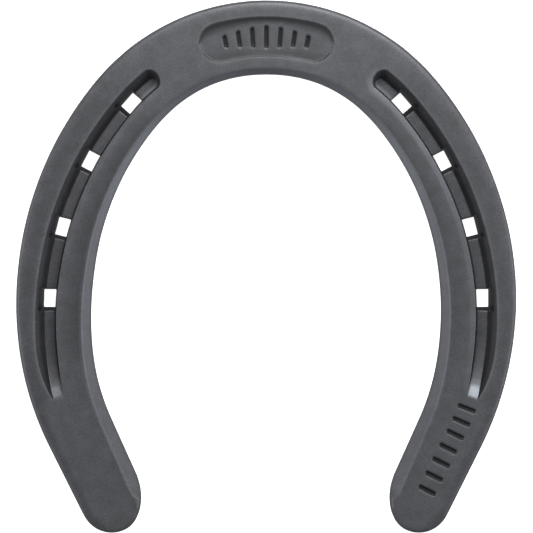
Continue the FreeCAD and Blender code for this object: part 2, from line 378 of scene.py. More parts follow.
class OuterEdge:
    """The outer edge of one branch: three tangent arcs from the middle of the toe, then a straight."""

    def __init__(self, sizes: Sizes, width: float, length: float) -> None:
        """Works the arcs out from the shoe's width and length.

        Args:
            sizes: Sizes of the shoe.
            width: Overall width.
            length: Overall length.
        """
        half, reach = width / 2, sizes.widest_share * length
        s, c = math.sin(math.radians(sizes.toe_turn)), math.cos(math.radians(sizes.toe_turn))
        whole = s * c - (1 - s) * (1 - c)
        h = math.radians(sizes.heel_turn)
        back = (sizes.heel_straight - sizes.heel_corner) * math.cos(h) - sizes.heel_tip * math.sin(h)
        back += math.hypot(sizes.heel_corner * math.cos(h), sizes.heel_tip * math.sin(h))
        radii = [
            (half * c - reach * (1 - s)) / whole,
            (reach * s - half * (1 - c)) / whole,
            (length - reach - back) / math.sin(h),
        ]
        turns = [sizes.toe_turn, 90.0 - sizes.toe_turn, sizes.heel_turn]
        self.arcs: list[tuple[float, float, float, Vector]] = []
        point, turned, distance = Vector((0.0, length / 2)), 0.0, 0.0
        for radius, turn in zip(radii, turns):
            centre = point + self.inwards(turned) * radius
            self.arcs.append((distance, turned, radius, centre))
            turned += turn
            distance += radius * math.radians(turn)
            point = centre - self.inwards(turned) * radius
        self.straight_from, self.straight_point, self.turned = distance, point, turned
        self.length = distance + sizes.heel_straight

    @staticmethod
    def along(turned: float) -> Vector:
        """Direction of the edge, away from the toe, where it has turned so many degrees."""
        a = math.radians(turned)
        return Vector((math.cos(a), -math.sin(a)))

    @staticmethod
    def inwards(turned: float) -> Vector:
        """Direction into the bar, square to the edge, where it has turned so many degrees."""
        a = math.radians(turned)
        return Vector((-math.sin(a), -math.cos(a)))

    def arc_at(self, u: float) -> tuple[float, float, float, Vector]:
        """Start, turn at its start, radius and centre of the arc that a place u on the edge lies on."""
        return [arc for arc in self.arcs if arc[0] <= max(u, 0.0)][-1]

    def bend(self, u: float, v: float, ahead: float = 0.0) -> Vector:
        """Where a place on the straight bar lies on the bent one.

        Args:
            u: Distance along the edge from the middle of the toe.
            v: Distance in from the edge.
            ahead: Further distance from the toe, square to v.

        Returns:
            Its X and Y.
        """
        if u >= self.straight_from:
            forward = u - self.straight_from + ahead
            return self.straight_point + self.along(self.turned) * forward + self.inwards(self.turned) * v
        start, turned, radius, centre = self.arc_at(u)
        turned += math.degrees((u - start) / radius)
        return centre - self.inwards(turned) * (radius - v) + self.along(turned) * ahead

    def stretch(self, u: float, v: float) -> float:
        """How much longer a step along the edge is than the step it makes a distance v inside the bend."""
        return 1.0 if u >= self.straight_from else 1 / (1 - v / self.arc_at(u)[2])


@dataclass
class Section:
    """Works out the sections of one branch, from the toe to the heel end."""

    sizes: Sizes
    edge: OuterEdge
    side: Side
    painted_light: PaintedLight = PaintedLight()

    def nail_inset(self, u: float) -> float:
        """Outer edge to the nails' inner side: a parabola through three known insets.

        Args:
            u: The station.

        Returns:
            The inset.
        """
        s = self.sizes
        places = (s.first_nail, s.nail_centre(s.nails - 1), s.crease_end)
        total = 0.0
        for place, value in zip(places, s.nail_insets):
            for other in places:
                if other != place:
                    value *= (u - other) / (place - other)
            total += value
        return total

    def web(self, u: float) -> float:
        """Width of the bar at a station."""
        return through(self.sizes.web_at, u / MM) * MM

    def bevel_leg(self, u: float) -> float:
        """Width of the inner bevel, which the heel's round corner cuts away.

        Args:
            u: The station.

        Returns:
            The width, never under that of a plain rim.
        """
        s = self.sizes
        leg = mix(s.bevel_toe, s.bevel_heel, min(u / self.edge.length, 1.0) ** s.bevel_growth)
        short = max(1 - (self.edge.length - u) / s.heel_inner_corner, 0.0)
        leg -= (self.web(u) - s.heel_tip) * (1 - math.sqrt(max(1 - short**2, 0.0)))
        return max(leg, s.rim)

    def bevel_share(self, u: float) -> float:
        """How much of the inner edge is bevel (1) and how much is plain rim (0)."""
        s = self.sizes
        return ease((self.edge.length - u) / s.heel_inner_corner * s.bevel_fade - s.bevel_fade_end)

    def lip_sheen(self, u: float) -> float:
        """Painted sheen on the crease's inner lip at a station."""
        w = self.painted_light
        return BRANCH_PAINTED_LIGHT[self.side].shoulder * mix(1.0, w.shoulder_past, w.shoulder_fade.at(u))

    def bevel_highlight(self, u: float) -> float:
        """Painted highlight on the inner bevel at a station."""
        return through(self.painted_light.bevel_at, u / MM) * self.bevel_share(u)

    def face_shade(self, u: float, inner: bool) -> float:
        """Painted shade on the face beside the crease, away from the edges.

        Args:
            u: The station.
            inner: Whether the place is on the inner side of the crease.

        Returns:
            Painted shade, zero or less.
        """
        w, branch = self.painted_light, BRANCH_PAINTED_LIGHT[self.side]
        deepest = branch.inner_face_shade if inner else branch.outer_face_shade
        left = w.inner_face_past if inner else w.outer_face_past
        return -deepest * w.face_shade_fade.at(u) * mix(1.0, left, w.past_crease.at(u))

    def ring_painted_light(self, u: float, depth: float, ring: float) -> tuple[float, float]:
        """Painted light and shade of one line of the crease.

        Args:
            u: The station.
            depth: Depth of the crease's floor.
            ring: Number of the line.

        Returns:
            Painted light and shade on the outer and on the inner side.
        """
        w = self.painted_light
        steep = min(depth / self.sizes.crease_depth, 1.0)
        shade_share = min(steep / w.whole_depth, 1.0)
        painted_sheen = self.lip_sheen(u) * steep
        wall = w.outer_wall + w.outer_wall_run * (1 - steep) ** w.outer_wall_power
        toe = u < self.sizes.first_nail - w.before_nail
        outer = {
            SHOULDER: self.face_shade(u, False),
            BESIDE_LIP: w.outer_lip * shade_share,
            LIP: 0.0,
            UNDER_LIP: wall,
            WALL: wall,
            WALL_FOOT: wall + w.outer_foot,
            CORNER: w.outer_corner * shade_share,
        }
        inner = {
            SHOULDER: w.shoulder_rest * painted_sheen,
            BESIDE_LIP: painted_sheen,
            LIP: 0.0,
            CORNER: w.inner_corner * shade_share,
            FLOOR_SIDE: w.floor_side_toe if toe else w.floor_side,
            FLOOR: w.floor,
        }
        return outer.get(ring, w.floor), inner.get(ring, w.inner_wall * shade_share)

    def ring(self, u: float, depth: float, ring: float) -> tuple[float, float, float]:
        """Place of one line of the crease.

        Args:
            u: The station.
            depth: Depth of the crease's floor.
            ring: Number of the line.

        Returns:
            Outer inset, inner inset and height.
        """
        s = self.sizes
        foot_in = self.nail_inset(u)
        foot_out = foot_in - s.crease_floor
        lip_out = foot_out - depth * math.tan(math.radians(s.crease_slope))
        lip_in = foot_in + depth * math.tan(math.radians(s.crease_batter))
        share = FALLS.get(ring, 0.0 if ring <= LIP else 1.0)
        widths = {SHOULDER: s.shoulder, BESIDE_LIP: s.hold, FLOOR_SIDE: -s.hold, FLOOR: -s.crease_floor / 2}
        wider = widths.get(ring, 0.0)
        drop = LIP_DROPS.get(ring, 1.0 - share) * s.lip_drop * min(depth / s.crease_depth, 1.0)
        outer, inner = mix(lip_out, foot_out, share) - wider, mix(lip_in, foot_in, share) + wider
        return outer, inner, -depth * share - drop

    def crease_band(self, u: float, depth: float, painted_sheen: float = 0.0) -> list[Spot]:
        """Band across the crease.

        Args:
            u: The station.
            depth: Depth of the floor below the face.
            painted_sheen: Painted highlight on the floor, and painted shade where it is below zero.

        Returns:
            The band's spots.
        """
        spots = []
        for column, number in RINGS.items():
            outer, inner, z = self.ring(u, depth, number)
            outer_painted, inner_painted = self.ring_painted_light(u, depth, number)
            v, painted_light = (outer, outer_painted) if column < MIDDLE else (inner, inner_painted)
            if column == MIDDLE:
                v = (outer + inner) / 2
            spots.append(Spot(u, v, z, painted_light + painted_sheen if number >= CORNER else painted_light))
        face = self.painted_light.beside_shoulder * self.face_shade(u, True)
        return spots + [Spot(u, spots[-1].v + self.sizes.shoulder / 2, 0.0, face)]

    def end_band(self, step: int) -> list[Spot]:
        """Band round the crease's toe end, where the outer and inner lines close into half circles.

        Args:
            step: Steps towards the toe from where the lines begin to turn.

        Returns:
            The band's spots.
        """
        s, w = self.sizes, self.painted_light
        start, row = s.crease_start, FLOOR + 1 - step
        spots = []
        for column, own in RINGS.items():
            corner = FLOOR + 1 - own
            straight = step <= corner
            number = own if straight else row
            outer, inner, z = self.ring(start, s.crease_depth, number)
            outer_painted, inner_painted = self.ring_painted_light(start, s.crease_depth, number)
            middle, radius = (outer + inner) / 2, (inner - outer) / 2
            if column == MIDDLE and straight:
                spots.append(Spot(start - step * s.end_floor_pitch, middle, z, outer_painted))
                continue
            if straight:
                share = step / corner / 2
            else:
                alike = [c for c, r in RINGS.items() if r == row and (c < MIDDLE) == (column <= MIDDLE)]
                share = 0.5 + (column - alike[0]) / (MIDDLE - alike[0]) / 2
            angle = math.pi / 2 * share
            across = -math.cos(angle) if column <= MIDDLE else math.cos(angle)
            painted_light = mix(outer_painted, inner_painted, 0.5 + across / 2)
            # the crease's toe end wall takes painted light in place of part of its painted shade
            if LIP < number < FLOOR_SIDE:
                painted_light = mix(painted_light, w.toe_wall, w.toe_wall_share * math.sin(angle))
            spots.append(Spot(start - radius * math.sin(angle), middle + across * radius, z, painted_light))
        face = Spot(start - step * s.end_pitch, spots[-1].v + s.shoulder / 2, 0.0, self.face_shade(start, True))
        return spots + [face]

    def mark_rows(self, u: float, centre: float, length: float, surface: float, low: float) -> list[Spot]:
        """The nine inner spots of a band, across one mark or the plain metal between marks.

        Args:
            u: The station.
            centre: Inset of the mark's middle.
            length: Length of the mark across the web.
            surface: Height of the surface that it is stamped in.
            low: Height of its bottom, the same as the surface where there is no mark.

        Returns:
            The spots.
        """
        half, hold = length / 2, self.sizes.hold
        side = [half + hold, half, half - hold, half / 2]
        offsets = [-o for o in side] + [0.0] + side[::-1]
        heights = [surface] * 2 + [low] * 5 + [surface] * 2
        # painted shade at the bottom of each mark, and a little on the panel's sunk floor round it
        around = self.painted_light.panel_floor if surface < 0 else 0.0
        shades = [around if z == surface else self.painted_light.mark for z in heights]
        return [Spot(u, centre + o, z, painted_light) for o, z, painted_light in zip(offsets, heights, shades)]

    def panel_band(self, u: float, sunk: bool, shorter: float = 0.0, stamped: bool = False) -> list[Spot]:
        """Band across the toe panel.

        Args:
            u: The station.
            sunk: Whether the panel's floor lies below the face here.
            shorter: How much shorter the mark is here than in its middle, which rounds its ends.
            stamped: Whether a mark's bottom lies here.

        Returns:
            The band's spots.
        """
        s, w = self.sizes, self.painted_light
        radius = s.panel_height / 2
        past = max(u - (s.panel_length / 2 - radius), 0.0)
        half = math.sqrt(max(radius**2 - past**2, (s.panel_tip * radius) ** 2))
        floor = -s.panel_depth if sunk else 0.0
        low = floor - s.mark_depth if stamped else floor
        longest = s.toe_mark_length - s.toe_mark_step * u / s.toe_mark_pitch
        length = min(longest, s.toe_mark_limit * half) - shorter
        # painted shade on the panel's edge and wall, and a faint painted highlight on its lip
        edge = [
            (half + s.panel_margin, 0.0, 0.0),
            (half + s.hold, 0.0, w.panel_lip),
            (half, 0.0, w.panel_edge if sunk else 0.0),
            (half - s.hold, floor, w.panel_wall if sunk else 0.0),
        ]
        rows = [Spot(u, s.panel_centre - o, z, painted_light) for o, z, painted_light in edge]
        rows += self.mark_rows(u, s.panel_centre, length, floor, low)
        return rows + [Spot(u, s.panel_centre + o, z, painted_light) for o, z, painted_light in reversed(edge)]

    def heel_band(self, u: float, shorter: float = 0.0, stamped: bool = False) -> list[Spot]:
        """Band across the heel, at a mark or between two.

        Args:
            u: The station.
            shorter: How much shorter the mark is here than in its middle.
            stamped: Whether a mark's bottom lies here.

        Returns:
            The band's spots.
        """
        s = self.sizes
        low = -s.mark_depth if stamped and self.side is Side.RIGHT else 0.0
        half = s.heel_mark_length / 2
        centre = s.heel_mark_inset + half
        rows = [Spot(u, centre - half - o) for o in s.heel_mark_rows]
        rows += self.mark_rows(u, centre, s.heel_mark_length - shorter, 0.0, low)
        return rows + [Spot(u, centre + half + o) for o in reversed(s.heel_mark_rows)]

    def mark_offsets(self, u: float, v: float) -> list[tuple[float, float, bool]]:
        """Stations across one mark.

        Args:
            u: The mark's middle, along the edge.
            v: The mark's middle, in from the edge.

        Returns:
            Offset of each station, how much shorter the mark is there, and whether it is stamped there.
        """
        s = self.sizes
        half, long = s.mark_width / 2, self.edge.stretch(u, v)
        bottom = (half - s.hold, s.mark_end_bottom, True)
        side = [bottom, (half, s.mark_end_top, False), (half + s.hold, s.mark_end_top, False)]
        places = [(-o, shorter, low) for o, shorter, low in reversed(side)] + [(0.0, 0.0, True)] + side
        return [(offset * long, shorter, stamped) for offset, shorter, stamped in places]

    def panel_stations(self) -> list[Station]:
        """Stations of the toe panel and its marks.

        Returns:
            The stations, in any order.
        """
        s = self.sizes
        found = []
        for i in range(s.toe_marks_each_side + 1):
            for offset, shorter, stamped in self.mark_offsets(0, s.panel_centre):
                u = i * s.toe_mark_pitch + offset
                if u >= 0:
                    found.append(Station(u, self.panel_band(u, True, shorter, stamped)))
        radius, end = s.panel_height / 2, s.panel_length / 2
        for angle in PANEL_TURNS:
            u = end - radius + radius * math.sin(math.radians(angle))
            found.append(Station(u, self.panel_band(u, True)))
        found += [Station(u, self.panel_band(u, False)) for u in (end, end + s.hold)]
        return found

    def crease_stations(self) -> list[Station]:
        """Stations of the crease: round end, nails and the plain crease between them.

        Returns:
            The stations, in any order.
        """
        s, depth = self.sizes, self.sizes.crease_depth
        found = [Station(s.crease_start - i * s.end_pitch, self.end_band(i)) for i in range(END_STEPS + 1)]
        mouths = self.mouths()
        for nail, (back, front) in enumerate(mouths):
            inside = [mix(back, front, share) for share in MOUTH_STATIONS]
            mouth = [Station(u, self.crease_band(u, depth), nail) for u in inside]
            beside = [Station(u, self.crease_band(u, depth)) for u in (back - s.hold, front + s.hold)]
            for station in (beside[0], mouth[0]):
                self.widen_pocket(station, -s.pocket_reach_toe)
            for station in (beside[1], mouth[-1]):
                self.widen_pocket(station, s.pocket_reach_heel)
            found += mouth + beside
        starts = [s.crease_start] + [front for _, front in mouths]
        ends = [back for back, _ in mouths] + [s.crease_end - s.run_out]
        for a, b in zip(starts, ends):
            count = max(round((b - a) / s.crease_pitch), 2)
            found += [Station(u, self.crease_band(u, depth)) for u in spread(a, b, count + 1)[1:-1]]
        return found

    def run_out_stations(self) -> list[Station]:
        """Stations where the crease's floor rises, and the small step in which it ends.

        Returns:
            The stations, in order.
        """
        s, w, branch = self.sizes, self.painted_light, BRANCH_PAINTED_LIGHT[self.side]
        found = []
        for share in RUN_STATIONS:
            u = s.crease_end - s.run_out + s.run_out * share
            depth = mix(s.crease_depth, s.last_step, share**s.run_power)
            # painted shade on the rising floor, with a painted highlight added towards its end
            painted_sheen = branch.run_highlight * w.run_highlight.at(share) - branch.run_shade * w.run_shade.at(share)
            found.append(Station(u, self.crease_band(u, depth, painted_sheen)))
        insets = [spot.v for spot in self.crease_band(s.crease_end, s.last_step)]
        for extra in (0.0, s.hold):
            u = s.crease_end + s.last_step_length + extra
            found.append(Station(u, [Spot(u, v) for v in insets]))
        return found

    @staticmethod
    def widen_pocket(station: Station, reach: float) -> None:
        """Takes a pocket's mouth further along the crease's outer wall than along its floor.

        Args:
            station: A station at or beside the mouth's toe or heel side.
            reach: How much further, negative towards the toe.
        """
        for column, share in MOUTH_REACH.items():
            spot = station.band[column - BAND_FIRST]
            station.band[column - BAND_FIRST] = Spot(spot.u + reach * share, spot.v, spot.z, spot.painted_light)

    def mouths(self) -> list[tuple[float, float]]:
        """Toe side and heel side of each nail pocket's mouth, along the edge.

        Returns:
            One pair for each nail.
        """
        s = self.sizes
        found = []
        for nail in range(s.nails):
            centre = s.nail_centre(nail)
            long = self.edge.stretch(centre, self.nail_inset(centre) - s.nail_width / 2)
            half = s.nail_length / 2
            found.append((centre - (half + s.pocket_toe) * long, centre + (half + s.pocket_heel) * long))
        return found

    def heel_stations(self) -> list[Station]:
        """Stations of the heel's marks and of the round heel end.

        Returns:
            The stations, in any order.
        """
        s = self.sizes
        last = self.edge.length - s.heel_corner - s.heel_mark_margin
        found = []
        for centre in spread(s.crease_end + s.heel_mark_margin, last, s.heel_marks):
            for offset, shorter, stamped in self.mark_offsets(centre, 0.0):
                u = centre + offset
                found.append(Station(u, self.heel_band(u, shorter, stamped)))
        inner = s.web_at[-1][1] * MM - s.heel_band_inner
        insets = spread(s.heel_band_outer, inner, BAND_LAST - BAND_FIRST + 1)
        for back in HEEL_STATIONS:
            u = self.edge.length - back * MM
            found.append(Station(u, [Spot(u, v) for v in insets] if back * MM < s.heel_flat_band else None))
        return found

    def stations(self) -> list[Station]:
        """All stations, from the toe on, with the plain stretches filled in.

        Returns:
            The stations, each with its band.
        """
        s = self.sizes
        plain_from = s.panel_length / 2 + s.panel_gap
        plain = [Station(u) for u in spread(plain_from, s.crease_start - s.crease_gap, PLAIN_STATIONS)]
        found = self.panel_stations() + plain + self.crease_stations()
        found += self.run_out_stations() + self.heel_stations()
        found.sort(key=lambda station: station.u)
        known = [st for st in found if st.band]
        for station in found:
            if station.band:
                continue
            before = [st for st in known if st.u < station.u][-1]
            after = [st for st in known if st.u > station.u][0]
            share = (station.u - before.u) / (after.u - before.u)
            station.band = [Spot(station.u, mix(a.v, b.v, share)) for a, b in zip(before.band, after.band)]
        return found

    def columns(self, station: Station) -> list[Spot]:
        """Every column's spot at a station.

        Args:
            station: The station, with its band filled in.

        Returns:
            The spots, from the outer edge in.
        """
        s, w, u = self.sizes, self.painted_light, station.u
        web, leg = self.web(u), self.bevel_leg(u)
        outer_face, inner_face, painted = self.face_shade(u, False), self.face_shade(u, True), self.bevel_highlight(u)
        crown_end = min(s.crown_width, (s.rim + station.band[0].v) / 2)
        # painted light of each column: highlight on the rim and bevel, shade on the faces beside the crease
        spots = [
            Spot(u, 0.0, 0.0, mix(w.rim_toe, w.rim_heel, w.rim_fade.at(u))),
            Spot(u, RIM_COLUMN * s.rim),
            Spot(u, s.rim, 0.0, w.past_crease.at(u) * outer_face),
            Spot(u, crown_end, 0.0, outer_face),
            *station.band,
            Spot(u, web - leg - s.hold, 0.0, w.beside_bevel * inner_face),
            Spot(u, web - leg, 0.0, w.bevel_edge * painted),
            *[Spot(u, web - leg * part, 0.0, painted) for part in BEVEL_COLUMNS],
        ]
        end_drop = round_drop(self.edge.length - u, s.rim)
        shaped = []
        for spot in spots:
            part = min(max((web - spot.v) / leg, 0.0), 1.0)
            slope = mix(round_drop(web - spot.v, leg), leg * (1 - part), self.bevel_share(u))
            rim = round_drop(spot.v, s.rim_radius) + s.crown * max(1 - spot.v / s.crown_width, 0.0) ** 2
            shaped.append(Spot(spot.u, spot.v, spot.z - max(rim, end_drop, slope), spot.painted_light))
        return shaped


@dataclass
class Branch:
    """One branch of the shoe, from a flat numbered sheet to a bent half."""

    sizes: Sizes
    edge: OuterEdge
    side: Side
    thickness: float
    stations: list[Station] = field(default_factory=list)
    section: Section | None = None
    painted_light: PaintedLight = PaintedLight()

    def make(self) -> bpy.types.Object:
        """Builds the branch.

        Returns:
            The bent half, open at the toe.
        """
        self.section = Section(self.sizes, self.edge, self.side, self.painted_light)
        self.stations = self.section.stations()
        piece = self._lay_sheet()
        self._punch(piece)
        self._draw_down()
        self._open_toe(piece)
        bpy.ops.object.mode_set(mode="OBJECT")
        self._forge(piece)
        log.info("%s branch: %d stations", self.side.name.lower(), len(self.stations))
        return piece

    def _lay_sheet(self) -> bpy.types.Object:
        """Lays a grid with one unit for each station and column, its first corner at the origin.

        Returns:
            The sheet, in edit mode.
        """
        bpy.ops.object.select_all(action="DESELECT")
        lines, columns = len(self.stations), COLUMNS
        bpy.ops.mesh.primitive_grid_add(x_subdivisions=lines - 1, y_subdivisions=columns - 1, size=1)
        piece = bpy.context.object
        bpy.ops.object.mode_set(mode="EDIT")
        bpy.ops.mesh.select_all(action="SELECT")
        bpy.ops.transform.resize(value=(lines - 1, columns - 1, 1))
        bpy.ops.transform.translate(value=((lines - 1) / 2, (columns - 1) / 2, 0))
        return piece

    def _pick_faces(self, piece: bpy.types.Object, test: Callable[[Vector], bool]) -> None:
        """Selects the faces whose centre passes a test, and nothing else.

        Args:
            piece: The piece, in edit mode.
            test: Says whether a centre is wanted.
        """
        bpy.ops.mesh.select_all(action="DESELECT")
        bpy.ops.object.mode_set(mode="OBJECT")
        for face in piece.data.polygons:
            face.select = test(face.center)
        bpy.ops.object.mode_set(mode="EDIT")

    def _spans(self) -> list[tuple[int, int]]:
        """First and last station number of each nail's mouth.

        Returns:
            One pair for each nail.
        """
        found = []
        for nail in range(self.sizes.nails):
            numbers = [i for i, station in enumerate(self.stations) if station.nail == nail]
            found.append((numbers[0], numbers[-1]))
        return found

    def _punch(self, piece: bpy.types.Object) -> None:
        """Punches the cells of the nail holes out of the sheet.

        Args:
            piece: The sheet.
        """
        spans = self._spans()
        bpy.ops.mesh.select_mode(type="FACE")
        self._pick_faces(piece, lambda c: NOTCH < c.y < NAIL_SIDE and any(a < c.x < b for a, b in spans))
        bpy.ops.mesh.delete(type="FACE")

    def _draw_down(self) -> None:
        """Draws the sheet down to a plate, with a line round its walls at every level."""
        bpy.ops.mesh.select_all(action="SELECT")
        bpy.ops.mesh.extrude_region_move(TRANSFORM_OT_translate={"value": (0, 0, -LEVELS)})
        for level in range(1, LEVELS):
            bpy.ops.mesh.select_all(action="SELECT")
            bpy.ops.mesh.bisect(plane_co=(0, 0, -level), plane_no=(0, 0, 1))

    def _open_toe(self, piece: bpy.types.Object) -> None:
        """Takes away the wall at the toe, where the two branches are welded.

        Args:
            piece: The plate.
        """
        self._pick_faces(piece, lambda c: c.x < TOE_WALL)
        bpy.ops.mesh.delete(type="FACE")

    def _forge(self, piece: bpy.types.Object) -> None:
        """Gives every numbered corner of the plate its place in the finished branch, and its painted light
        and shade.

        Args:
            piece: The plate.
        """
        rows = [self.section.columns(station) for station in self.stations]
        spans = self._spans()
        painted_light = piece.data.attributes.new(PAINTED_LIGHT, "FLOAT", "POINT")
        for vertex in piece.data.vertices:
            i, j, level = round(vertex.co.x), round(vertex.co.y), round(-vertex.co.z)
            spot = rows[i][j]
            painted = spot.painted_light if level == 0 else 0.0
            nail = self._nail_at(i, j, spans)
            if nail is not None and level > 0:
                place = self._hole_place(i, j, level, nail, spans[nail], spot)
                # painted shade on the walls of the nail holes
                painted = self.painted_light.hole
            else:
                u, v, z = self._plate_place(i, j, level, spot)
                u, v = self._round_heel(u, v)
                flat = self.edge.bend(u, v)
                place = Vector((flat.x, flat.y, z))
            painted_light.data[vertex.index].value = PLAIN + painted
            sway = self.sizes.sway * self.sizes.sway_fade.at(self.stations[i].u)
            vertex.co = Vector((place.x * self.side.value - sway, place.y, place.z))

    def _nail_at(self, i: int, j: int, spans: list[tuple[int, int]]) -> int | None:
        """The nail whose hole has this corner on its wall, if there is one.

        Args:
            i: Station number.
            j: Column.
            spans: First and last station number of each nail's mouth.

        Returns:
            The nail's number, or nothing.
        """
        if not NOTCH <= j <= NAIL_SIDE:
            return None
        for nail, (a, b) in enumerate(spans):
            if a <= i <= b and (i in (a, b) or j in (NOTCH, NAIL_SIDE)):
                return nail
        return None

    def _plate_place(self, i: int, j: int, level: int, spot: Spot) -> tuple[float, float, float]:
        """Place of a corner on the ground face, the hoof face or an outside wall.

        Args:
            i: Station number.
            j: Column.
            level: Steps down from the ground face.
            spot: The corner's spot on the ground face.

        Returns:
            Distance along, distance in, and height.
        """
        if level == 0:
            return spot.u, spot.v, self.thickness + spot.z
        if level == LEVELS:
            return self.stations[i].u, self._base_inset(i, j), 0.0
        height = mix(self.thickness + spot.z, self.sizes.base_lift, WALL_LEVELS[level])
        return self.stations[i].u, spot.v, height

    def _base_inset(self, i: int, j: int) -> float:
        """Inset of a column on the hoof face, where the columns keep clear of each other.

        Args:
            i: Station number.
            j: Column.

        Returns:
            The inset.
        """
        s, u = self.sizes, self.stations[i].u
        web, last = self.section.web(u), COLUMNS - 1
        if j <= 1:
            return s.base_insets[j]
        if j >= last - 1:
            return web - s.base_insets[last - j]
        inner = self.section.nail_inset(min(max(u, s.crease_start), s.crease_end))
        outer = inner - s.nail_width
        if j <= NOTCH:
            return mix(s.base_insets[1], outer, (j - 1) / (NOTCH - 1))
        if j <= NAIL_SIDE:
            return mix(outer, inner, (j - NOTCH) / (NAIL_SIDE - NOTCH))
        return mix(inner, web - s.base_insets[1], (j - NAIL_SIDE) / (last - 1 - NAIL_SIDE))

    def _hole_place(
        self, i: int, j: int, level: int, nail: int, span: tuple[int, int], spot: Spot
    ) -> Vector:
        """Place of a corner on a nail hole's wall, from the pocket's mouth down to the hoof face.

        Args:
            i: Station number.
            j: Column.
            level: Steps down from the ground face.
            nail: Number of the nail.
            span: First and last station number of its mouth.
            spot: The corner's spot on the mouth.

        Returns:
            The place on the +X branch.
        """
        s = self.sizes
        centre = s.nail_centre(nail)
        along = MOUTH_STATIONS[i - span[0]]
        across = MOUTH_COLUMNS[j - NOTCH]
        inset = self.section.nail_inset(centre) - s.nail_width * (1 - across)
        flat = self.edge.bend(centre, inset, mix(-0.5, 0.5, along) * s.nail_length)
        neck = self.thickness - s.crease_depth - s.pocket_depth
        if level == 1:
            mouth = self.edge.bend(spot.u, spot.v)
            top = Vector((mouth.x, mouth.y, self.thickness + spot.z))
            return top.lerp(Vector((flat.x, flat.y, neck)), s.mouth_roll)
        heights = {2: neck + s.neck_above, 3: neck - s.neck_below, 4: s.foot_above, LEVELS: 0.0}
        return Vector((flat.x, flat.y, heights[level]))

    def _round_heel(self, u: float, v: float) -> tuple[float, float]:
        """Bends the square corners of the heel end into round ones, ring by ring.

        Args:
            u: Distance along the edge.
            v: Distance in from the edge.

        Returns:
            The same, on the round end.
        """
        s, web = self.sizes, self.section.web(u)
        outer = v < s.heel_tip
        across, along = (s.heel_tip, s.heel_corner) if outer else (web - s.heel_tip, s.heel_inner_corner)
        side, end = (v if outer else web - v) / across, (self.edge.length - u) / along
        if side >= 1 or end >= 1:
            return u, v
        ring = 1 - min(side, end)
        share = 0.5 * (1 - end) / ring if side <= end else 0.5 + 0.5 * (side - end) / ring
        angle = math.pi / 2 * share
        side, end = 1 - ring * math.cos(angle), 1 - ring * math.sin(angle)
        return self.edge.length - end * along, side * across if outer else web - side * across


